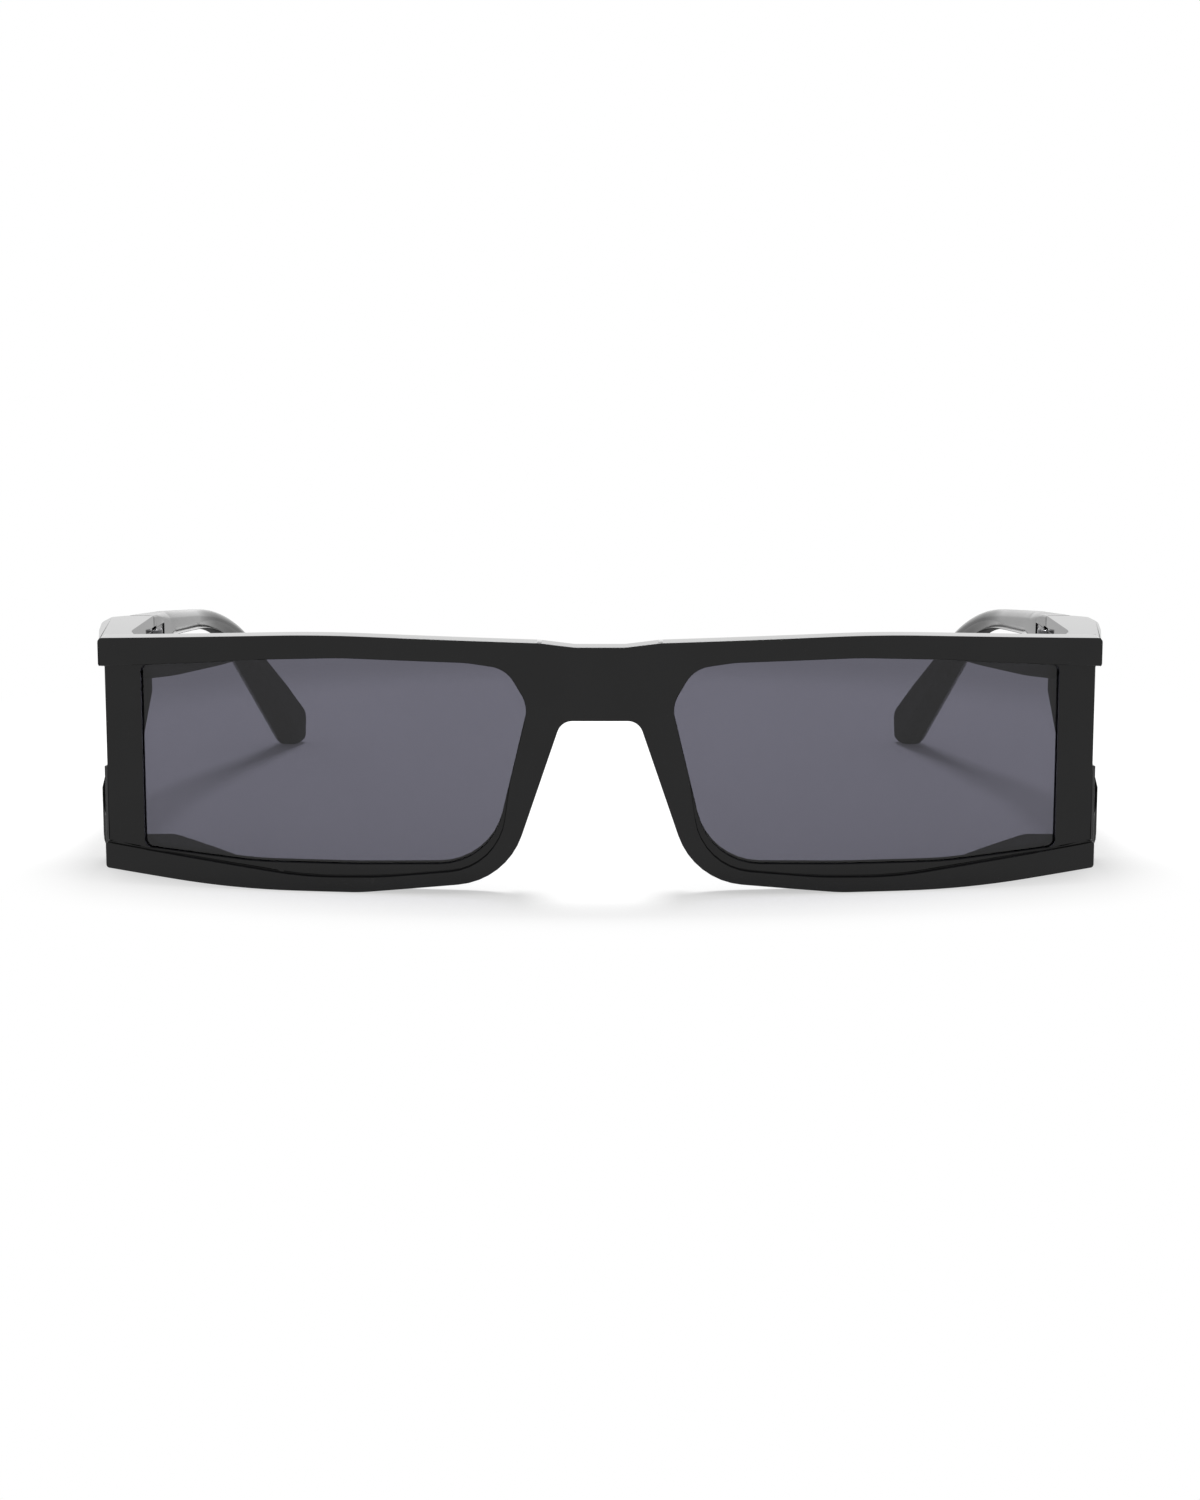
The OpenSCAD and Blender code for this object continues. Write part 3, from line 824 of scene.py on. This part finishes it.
FRAME_BLACK = MouldedPlastic("polished black front", (0.0050, 0.0050, 0.0052), tone=1.4,
                             rough=(0.05, 0.10), patch_scale=55, bump=0.05, specular=0.27)
# Dull satin black for the inner faces, also used as painted groove shade along the front's lens
# openings and lip step.
SATIN_AND_GROOVE_SHADE = MouldedPlastic("satin black lining", (0.0060, 0.0060, 0.0061), tone=1.3,
                             rough=(0.66, 0.78), patch_scale=70, bump=0.12, specular=0.06)
TEMPLE_BLACK = MouldedPlastic("polished black temple", (0.0055, 0.0055, 0.0056), tone=1.4,
                              rough=(0.12, 0.21), patch_scale=48, bump=0.06, specular=0.30)
SMOKE = TintedLens("smoke lens", (0.098, 0.096, 0.124), rough=(0.0, 0.02), patch_scale=40)
SIDE_SMOKE = TintedLens("smoke side lens", (0.098, 0.096, 0.124), rough=(0.0, 0.03),
                        patch_scale=60)
# Hinge steel with a dark base colour, far darker than the screws.
HINGE_STEEL = BrushedMetal("dark hinge steel", (0.12, 0.12, 0.125), tone=0.8,
                           rough=(0.24, 0.38), patch_scale=500, bump=0.25)
SCREW_STEEL = BrushedMetal("bright screw steel", (0.70, 0.70, 0.72), tone=0.9,
                           rough=(0.12, 0.24), patch_scale=700, bump=0.12)
WIRE_STEEL = BrushedMetal("drawn core wire", (0.50, 0.50, 0.51), tone=0.85,
                          rough=(0.3, 0.42), patch_scale=400, bump=0.3)


def dress(piece: bpy.types.Object, finish: Finish, body: str, slot: str,
          *nodes: str) -> None:
    """Give a new piece its finish, its body and the nodes that it stands for.

    Args:
        piece: The piece.
        finish: Its finish.
        body: CAD body that it rides on.
        slot: Material slot of the record. Not used.
        *nodes: CAD nodes that it replaces.
    """
    piece.data.materials.clear()
    piece.data.materials.append(finish.build())
    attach(piece, body)
    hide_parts(*nodes)
    log.info("%s: %d faces before its modifiers, rides on %s", piece.name,
             len(piece.data.polygons), body)


def repaint(node: str, finish: Finish) -> None:
    """Give a carried-over CAD node its finish.

    Args:
        node: Name of the node.
        finish: The finish.
    """
    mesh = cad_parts[node].data
    mesh.materials.clear()
    mesh.materials.append(finish.build())
    log.info("%s: carried over from the frame", node)


def give_second_material(mesh: bpy.types.Mesh, faces: Array) -> None:
    """Give some faces of a dressed mesh the satin lining, which on the front also paints groove
    shade.
    """
    mesh.materials.append(SATIN_AND_GROOVE_SHADE.build())
    mesh.polygons.foreach_set("material_index", faces.astype(np.int32))


@dataclass
class MouldedFront:
    """The moulded front with its bar, bridge, rims, posts, braces and side walls.

    The facing and turned fields are limits on one coordinate of a face's normal.
    """

    d: Drawing = DRAWING
    edge: float = 0.1
    segments: int = 3
    facing: float = -0.93
    swelling_facing: float = -0.1
    turned_in: float = -0.3
    turned_back: float = 0.35
    turned_down: float = -0.4
    behind_share: float = 1.7
    inside: float = 0.4
    lining_drop: float = 4.8
    swelling_top: float = 18.0
    swelling_out: float = 0.1
    line_reach: float = 0.32
    post_margin: float = 0.8
    lens_points: int = 500
    step_points: int = 300

    def split(self, piece: bpy.types.Object, height: float) -> None:
        """Cut the faces at a height, so that the lining can end there.

        Args:
            piece: The front.
            height: Height of the cut in millimetres.
        """
        shape = bmesh.new()
        shape.from_mesh(piece.data)
        bmesh.ops.bisect_plane(shape, geom=[*shape.verts, *shape.edges, *shape.faces],
                               plane_co=(0, 0, height * MM), plane_no=(0, 0, 1))
        shape.to_mesh(piece.data)
        shape.free()

    def on_lines(self, centre: Array) -> Array:
        """Whether each place lies on the edge of a lens opening or on the lip's step.

        Args:
            centre: Places in millimetres, one in each row.

        Returns:
            A truth value for each place.
        """
        lens = spaced(outline(lens_corners(self.d)), self.lens_points, True)
        step = spaced(outline(step_corners(self.d), closed=False), self.step_points)
        place = np.stack([np.abs(centre[:, 0]), centre[:, 2]], axis=1)
        gap = np.full(len(place), np.inf)
        for line in (lens, step):
            away = place[:, None, :] - line[None]
            gap = np.minimum(gap, np.sqrt((away ** 2).sum(axis=2)).min(axis=1))
        return gap < self.line_reach

    def add_lining(self, piece: bpy.types.Object) -> None:
        """Give the inner faces a satin finish, and paint shade on the thin lines around the
        lenses.

        Satin are the faces well behind the front that look backwards or down, and below the
        lining's upper end those that look inwards or lie between the walls. So is the front of
        the swelling beside each post. Away from the posts, the narrow faces along the openings
        and the lip's step get the same dull material as painted shade: a dark line that stands
        for the shadow in the groove round each lens and under the step.

        Args:
            piece: The front, already polished all over.
        """
        d, height = self.d, self.d.side_top - self.lining_drop
        self.split(piece, height)
        normal, centre = face_places(piece.data)
        out, z = np.abs(centre[:, 0]), centre[:, 2]
        behind = centre[:, 1] - d.sag(centre[:, 0]) > d.recess * self.behind_share
        inwards = normal[:, 0] * np.sign(centre[:, 0]) < self.turned_in
        within = out < d.side_in + self.inside
        backwards = (normal[:, 1] > self.turned_back) | (normal[:, 2] < self.turned_down)
        inner = ((inwards | within) & (z < height)) | backwards
        swelling = ((out > d.post_out + self.swelling_out)
                    & (normal[:, 1] < self.swelling_facing)
                    & (z < self.swelling_top) & (z > d.brace_top))
        # Painted shade: away from the posts, the narrow faces along the lens openings and the
        # lip's step take the dull lining, so that they show as a dark shadow line in the groove.
        painted_shade_lines = ((normal[:, 1] > self.facing) & (out < d.post_in - self.post_margin)
                  & self.on_lines(centre))
        give_second_material(piece.data, np.where(behind, inner | swelling, painted_shade_lines))

    def build(self) -> None:
        """Round the edges of the front and dress it."""
        piece = merged_copy("front_frame", "moulded_front")
        soften(piece, self.edge, self.segments)
        dress(piece, FRAME_BLACK, "front", "frame_plastic", "front_frame")
        self.add_lining(piece)


def lens_rings(rim: Array, middle: Array, levels: tuple[float, float], chamfer: float,
               rings: int, core: float) -> tuple[Array, Array]:
    """Rings of a lens with two faces and a chamfered edge.

    Each ring is the rim drawn in towards the middle by the ring's share. The share grows
    from the core to the chamfer over the first face, is 1 twice on the edge, and shrinks
    back over the second face.

    Args:
        rim: Points of the outline, in millimetres.
        middle: Point that the rings are drawn in to.
        levels: Levels of the first and of the second face.
        chamfer: Width of the chamfer.
        rings: Number of rings on each face.
        core: Share of the innermost ring.

    Returns:
        The flat rings as (ring, point, coordinate), and the level of each ring.
    """
    inset = 1 - chamfer / np.linalg.norm(rim - middle, axis=1).min()
    shares = np.linspace(core, inset, rings)
    share = np.concatenate([shares, [1.0, 1.0], shares[::-1]])
    first, last = levels
    step = math.copysign(chamfer, last - first)
    level = np.repeat([first, first + step, last - step, last], [rings, 1, 1, rings])
    return middle + share[:, None, None] * (rim - middle), level


@dataclass
class Lens:
    """A front lens: rings from the middle of its face round its edge to its back."""

    side: Side
    d: Drawing = DRAWING
    thickness: float = 1.8
    groove: float = 0.8
    gap: float = 0.05
    chamfer: float = 0.15
    points: int = 256
    rings: int = 14
    core: float = 0.04
    seat_share: float = 1.6
    sharp: float = 15.0

    def surface(self) -> Array:
        """Rings of the lens, each laid on a cylinder behind the face by the ring's depth.

        Returns:
            Points as (ring, point, coordinate) in millimetres.
        """
        edge = outline(grown(lens_corners(self.d), self.groove - self.gap))
        rim = spaced(edge, self.points, True)
        middle = (rim.min(axis=0) + rim.max(axis=0)) / 2
        front = self.d.recess * self.seat_share
        flat, depth = lens_rings(rim, middle, (front, front + self.thickness), self.chamfer,
                                 self.rings, self.core)
        y = self.d.sag(flat[..., 0], depth[:, None])
        return np.stack([flat[..., 0] * self.side.value, y, flat[..., 1]], axis=-1)

    def build(self) -> None:
        """Build and dress the lens."""
        name = f"{self.side.word}_lens"
        piece = tube_object(f"{name}_blank", self.surface(), self.sharp)
        dress(piece, SMOKE, "front", "lens_tint", name)


@dataclass
class SideLens:
    """A side lens: rings from the middle of its outer face round its edge to its inner face."""

    side: Side
    d: Drawing = DRAWING
    thickness: float = 1.6
    groove: float = 0.8
    gap: float = 0.05
    chamfer: float = 0.12
    points: int = 160
    rings: int = 8
    core: float = 0.05
    lean: float = 0.45
    sharp: float = 15.0

    def corners(self) -> list[Corner]:
        """Side window, seen from the side. The factors set it on the drawing's lengths.

        Returns:
            The corners with their radii.
        """
        d = self.d
        front = float(d.sag(d.post_out)) + d.front_t + d.window_rim * 0.63
        low = d.brace_top + d.window_rim * 1.05
        top = d.bar_low - d.window_rim * 1.24
        wall_low = d.joint_y - d.wall_short
        return [
            (front, low, d.window_rim * 0.48),
            (wall_low - d.window_rim * 1.14, low, d.window_rim * 0.48),
            (wall_low - d.window_rim * 1.62, d.root_low * 0.73, d.window_rim * 0.7),
            (d.joint_y - d.window_rim * 2.33, top, d.window_rim * 0.38),
            (front, top, d.window_rim * 0.48),
        ]

    def surface(self) -> Array:
        """Rings of the lens, each at its own distance from the middle of the glasses.

        Returns:
            Points as (ring, point, coordinate) in millimetres.
        """
        rim = spaced(outline(grown(self.corners(), self.groove - self.gap)), self.points, True)
        low, high = rim.min(axis=0), rim.max(axis=0)
        middle = low + (high - low) * [self.lean, 0.5]
        inner = self.d.side_in + self.d.recess
        flat, x = lens_rings(rim, middle, (inner + self.thickness, inner), self.chamfer,
                             self.rings, self.core)
        across = np.broadcast_to(x[:, None], flat.shape[:2])
        return np.stack([across * self.side.value, flat[..., 0], flat[..., 1]], axis=-1)

    def build(self) -> None:
        """Build and dress the side lens."""
        name = f"{self.side.word}_side_lens"
        piece = tube_object(f"{name}_blank", self.surface(), self.sharp)
        dress(piece, SIDE_SMOKE, "front", "side_lens_tint", name)


@dataclass
class Temple:
    """A temple: a rounded section carried from its root over the bend to its tip.

    The turned and tip_turned fields are limits on the coordinates of a face's normal.
    """

    side: Side
    d: Drawing = DRAWING
    rings: int = 220
    corner_points: int = 7
    rail_steps: int = 40
    edge: float = 1.6
    edge_share: float = 0.92
    root_run: float = 14.0
    root_share: float = 0.3
    rounding: float = 0.12
    joint_gap: float = 0.1
    barrel_r: float = 1.3
    barrel_head: float = 0.35
    notch_gap: float = 0.6
    leaf_t: float = 0.8
    leaf_l: float = 6.7
    seat: float = 0.05
    barrel_top: float = 33.6
    hinge_h: float = 6.4
    overcut: float = 2.0
    turned_down: float = -0.85
    tip_turned: tuple[float, float, float] = (0.3, 0.3, 0.6)
    tip_start: float = 8.0

    def upper_rail(self) -> Array:
        """Upper edge in Y and Z. The factors set it on the drawing's lengths.

        Returns:
            Points from the root to the middle of the tip.
        """
        d = self.d
        return outline([
            (d.joint_y + self.joint_gap, d.side_top),
            (d.joint_y + d.temple_l * 0.158, d.side_top - d.slim_h * 0.29, d.drop_l * 1.4),
            (d.bend_y, d.side_top - d.slim_h * 1.43, d.drop_l * 1.4),
            (d.temple_end, d.slim_h * 1.62, d.slim_h * 1.2),
            (d.temple_end, d.slim_h * 0.6),
        ], closed=False, steps=self.rail_steps)

    def lower_rail(self) -> Array:
        """Lower edge in Y and Z. The factors set it on the drawing's lengths.

        Returns:
            Points from the root to the middle of the tip.
        """
        d = self.d
        return outline([
            (d.joint_y + self.joint_gap, d.root_low),
            (d.joint_y + d.temple_l * 0.168, d.side_top - d.slim_h * 1.42, d.slim_h * 5),
            (d.bend_y, d.side_top - d.slim_h * 2.26, d.drop_l),
            (d.temple_end - d.slim_h * 1.5, 0.0, d.slim_h * 1.2),
            (d.temple_end, 0.0, d.slim_h * 0.5),
            (d.temple_end, d.slim_h * 0.6),
        ], closed=False, steps=self.rail_steps)

    def plan(self) -> tuple[Array, Array]:
        """Outer and inner edge in X and Y. The factors set them on the drawing's lengths.

        Returns:
            The points of each edge, from the root to the tip.
        """
        d = self.d
        root = d.joint_y + self.joint_gap
        tip = d.side_in - d.tip_in
        arm = d.bend_y - d.drop_l * 0.3
        outer = outline([
            (d.side_x, root),
            (d.side_in + d.root_t * 0.62, arm, d.drop_l * 2),
            (tip, d.temple_end, d.root_t * 0.48),
            (tip - d.root_t * 0.57, d.temple_end),
        ], closed=False, steps=self.rail_steps)
        inner = outline([
            (d.side_in, root),
            (d.side_in - d.root_t * 0.29, arm, d.drop_l * 1.4),
            (d.side_in - d.tip_in * 1.3, d.temple_end - d.drop_l * 0.29, d.drop_l * 0.47),
            (tip - d.root_t * 1.15, d.temple_end, d.root_t * 0.44),
            (tip - d.root_t * 0.57, d.temple_end),
        ], closed=False, steps=self.rail_steps)
        return outer, inner

    def surface(self) -> Array:
        """Rings of the temple.

        A ring joins the upper and the lower rail at the same share of their length. Its
        section is a rectangle with rounded corners, whose height is the distance of the
        rails and whose width is that of the plan at the ring's depth. Close to the flat root
        the corners tighten, so that the temple meets the side wall.

        Returns:
            Points as (ring, point, coordinate) in millimetres.
        """
        upper = spaced(self.upper_rail(), self.rings)
        lower = spaced(self.lower_rail(), self.rings)
        middle = (upper + lower) / 2
        half_h = np.linalg.norm(upper - lower, axis=1) / 2
        outer, inner = self.plan()
        x_out = np.interp(middle[:, 0], outer[:, 1], outer[:, 0])
        x_in = np.interp(middle[:, 0], inner[:, 1], inner[:, 0])
        half_w = (x_out - x_in) / 2
        radius = np.minimum(self.edge, np.minimum(half_w, half_h) * self.edge_share)
        from_root = middle[:, 0] - self.d.joint_y
        radius = radius * np.clip(from_root / self.root_run, self.root_share, 1.0)
        angle = np.linspace(0, math.pi / 2, self.corner_points)
        turn = np.concatenate([angle + k * math.pi / 2 for k in range(4)])
        sx, sz = np.repeat([[1, -1, -1, 1], [1, 1, -1, -1]], self.corner_points, axis=1)
        across = sx * (half_w - radius)[:, None] + radius[:, None] * np.cos(turn)
        along = sz * (half_h - radius)[:, None] + radius[:, None] * np.sin(turn)
        # The rails meet at the tip, where the least height keeps the share finite.
        lift = along / np.maximum(half_h, 1e-6)[:, None]
        yz = middle[:, None, :] + lift[..., None] * (upper - lower)[:, None, :] / 2
        centre = sum(np.interp(yz[..., 0], line[:, 1], line[:, 0]) for line in (outer, inner)) / 2
        x = (centre + across) * self.side.value
        y = np.minimum(yz[..., 0], self.d.temple_end - self.seat)
        return np.stack([x, y, yz[..., 1]], axis=-1)

    def add_lining(self, piece: bpy.types.Object) -> None:
        """Make satin the arm's underside and what looks inwards, forwards or down at the tip.

        Args:
            piece: The temple, already polished all over.
        """
        normal, centre = face_places(piece.data)
        tip = centre[:, 1] > self.d.bend_y + self.tip_start
        turned = (normal * [self.side.value, 1, 1] < self.tip_turned).all(axis=1)
        give_second_material(piece.data, (normal[:, 2] < self.turned_down) | (tip & turned))

    def build(self) -> None:
        """Build the temple, cut its notch and pocket, and dress it with a satin underside."""
        name = f"{self.side.word}_temple"
        piece = tube_object(f"{name}_arm", self.surface())
        d, half = self.d, self.barrel_r + self.notch_gap
        start, near = d.joint_y + half, d.side_in - self.overcut
        carve(piece, (near, d.joint_y - self.overcut, d.root_low - self.overcut),
              (d.side_in + half, start, self.barrel_top + self.barrel_head), self.side)
        carve(piece, (near, d.joint_y, self.barrel_top - self.hinge_h * 2 / 3),
              (d.side_in + self.leaf_t + self.seat, start + self.leaf_l + self.seat,
               self.barrel_top + self.seat), self.side)
        soften(piece, self.rounding, angle=HARD_EDGE)
        dress(piece, TEMPLE_BLACK, self.side.arm, "temple_plastic", name)
        self.add_lining(piece)


@dataclass
class Hinge:
    """The metal of one side: leaves, hinge screw, leaf screws and the core wire."""

    side: Side
    edge: float = 0.07

    def build(self) -> None:
        """Round the edges of the metal pieces and dress them."""
        word, arm = self.side.word, self.side.arm
        parts = [("front_leaf", HINGE_STEEL, "front", "hinge_steel"),
                 ("temple_leaf", HINGE_STEEL, arm, "hinge_steel"),
                 ("hinge_screw", SCREW_STEEL, "front", "screw_steel"),
                 ("front_leaf_screws", SCREW_STEEL, "front", "screw_steel"),
                 ("temple_leaf_screws", SCREW_STEEL, arm, "screw_steel")]
        for part, finish, body, slot in parts:
            node = f"{word}_{part}"
            piece = merged_copy(node, f"{node}_metal")
            soften(piece, self.edge, angle=HARD_EDGE)
            dress(piece, finish, body, slot, node)
        repaint(f"{word}_core_wire", WIRE_STEEL)


@dataclass(frozen=True)
class Softbox:
    """A soft rectangular lamp, in metres and watts."""

    name: str
    place: Corner
    aim: Corner
    size: tuple[float, float]
    watts: float

    def build(self) -> None:
        """Hang the lamp and turn it to its aim."""
        data = bpy.data.lights.new(self.name, "AREA")
        data.shape = "RECTANGLE"
        data.size, data.size_y = self.size
        data.energy = self.watts
        lamp = linked(self.name, data)
        lamp.location = self.place
        view = Vector(self.aim) - Vector(self.place)
        lamp.rotation_euler = view.to_track_quat("-Z", "Y").to_euler()
        lamp.visible_camera = False


OVERHEAD = Softbox("overhead softbox", (0.0, 0.18, 0.50), (0, 0, 0), (0.16, 0.16), 2.1)
REAR = Softbox("rear softbox", (0.0, 1.25, 0.36), (0, 0, 0.03), (1.4, 0.66), 1.0)


@dataclass
class Studio:
    """Pale floor, white surroundings, soft lamps and the camera, in metres."""

    eye: Corner = (0.0, -0.45367, 0.08304)
    pitch: float = 9.2
    lens: float = 65.6
    sensor: float = 36.0
    nearest: float = 0.01
    floor_reach: float = 4.0
    floor_z: float = -0.0001
    floor_albedo: float = 0.85
    floor_lift: float = 0.24
    shadow_middle: float = 0.05
    shadow_reach: tuple[float, float] = (0.10, 0.15)
    ambient: float = 0.42

    def seen(self, tree: bpy.types.NodeTree) -> bpy.types.NodeSocket:
        """Value that is 1 for camera, glossy and transmission rays and 0 for others.

        Args:
            tree: Tree that gets the nodes.

        Returns:
            The value's socket.
        """
        path = tree.nodes.new("ShaderNodeLightPath")
        two = math_node(tree, "MAXIMUM", path.outputs["Is Camera Ray"],
                        path.outputs["Is Glossy Ray"])
        return math_node(tree, "MAXIMUM", two, path.outputs["Is Transmission Ray"])

    def floor(self) -> None:
        """Lay the floor."""
        mesh = bpy.data.meshes.new("floor")
        corners = np.array([(-1, -1, 0), (1, -1, 0), (1, 1, 0), (-1, 1, 0)]) * self.floor_reach
        mesh.from_pydata((corners + [0, 0, self.floor_z]).tolist(), [], [(0, 1, 2, 3)])
        floor = linked("floor", mesh)
        mesh.materials.append(self.floor_material())

    def floor_material(self) -> bpy.types.Material:
        """Material that keeps the object's shadow and shows white around it.

        Returns:
            The material.
        """
        material = bpy.data.materials.new("pale floor")
        material.use_nodes = True
        tree = material.node_tree
        tree.nodes.remove(tree.nodes["Principled BSDF"])
        grey = (*[self.floor_albedo] * 3, 1)
        matt = add_node(tree, "ShaderNodeBsdfDiffuse", {"Color": grey})
        seen = self.seen(tree)
        lift = math_node(tree, "MULTIPLY", seen, self.floor_lift)
        glow = add_node(tree, "ShaderNodeEmission", {"Strength": lift})
        both = add_node(tree, "ShaderNodeAddShader", {
            0: matt.outputs["BSDF"], 1: glow.outputs["Emission"]})
        # Past the reach of the shadow the floor turns to plain white, up to the horizon.
        place = add_node(tree, "ShaderNodeTexCoord", {}).outputs["Object"]
        far = add_node(tree, "ShaderNodeVectorMath", {
            0: place, 1: (0, self.shadow_middle, 0)}, operation="DISTANCE")
        fade = add_node(tree, "ShaderNodeMapRange", {
            "Value": far.outputs["Value"], "From Min": self.shadow_reach[0],
            "From Max": self.shadow_reach[1]}, interpolation_type="SMOOTHSTEP")
        white = add_node(tree, "ShaderNodeEmission", {})
        share = math_node(tree, "MULTIPLY", fade.outputs["Result"], seen)
        mix = add_node(tree, "ShaderNodeMixShader", {
            "Fac": share, 1: both.outputs["Shader"], 2: white.outputs["Emission"]})
        tree.links.new(mix.outputs["Shader"], tree.nodes["Material Output"].inputs["Surface"])
        return material

    def world(self) -> None:
        """Even ambient light that shows as white to the camera and in reflections."""
        world = bpy.data.worlds.new("studio")
        world.use_nodes = True
        bpy.context.scene.world = world
        tree = world.node_tree
        background = tree.nodes["Background"]
        background.inputs["Color"].default_value = (1, 1, 1, 1)
        seen = self.seen(tree)
        strength = math_node(tree, "MULTIPLY_ADD", seen, 1 - self.ambient, self.ambient)
        tree.links.new(strength, background.inputs["Strength"])

    def camera(self) -> None:
        """Camera at the photograph's viewing angle."""
        data = bpy.data.cameras.new("camera")
        data.lens = self.lens
        data.sensor_width = self.sensor
        data.clip_start = self.nearest
        camera = linked("camera", data)
        camera.location = self.eye
        camera.rotation_euler = (math.radians(90 - self.pitch), 0, 0)
        bpy.context.scene.camera = camera

    def build(self) -> None:
        """Build the whole studio."""
        self.floor()
        self.world()
        for lamp in (OVERHEAD, REAR):
            lamp.build()
        self.camera()
        bpy.context.scene.view_settings.view_transform = "Standard"


def main() -> None:
    """Build the sunglasses and the studio, and report each piece."""
    logging.basicConfig(level=logging.INFO, format="%(name)s: %(message)s")
    MouldedFront().build()
    for side in Side:
        Lens(side).build()
        SideLens(side).build()
        Temple(side).build()
        Hinge(side).build()
    Studio().build()


if __name__ == "__main__":
    main()
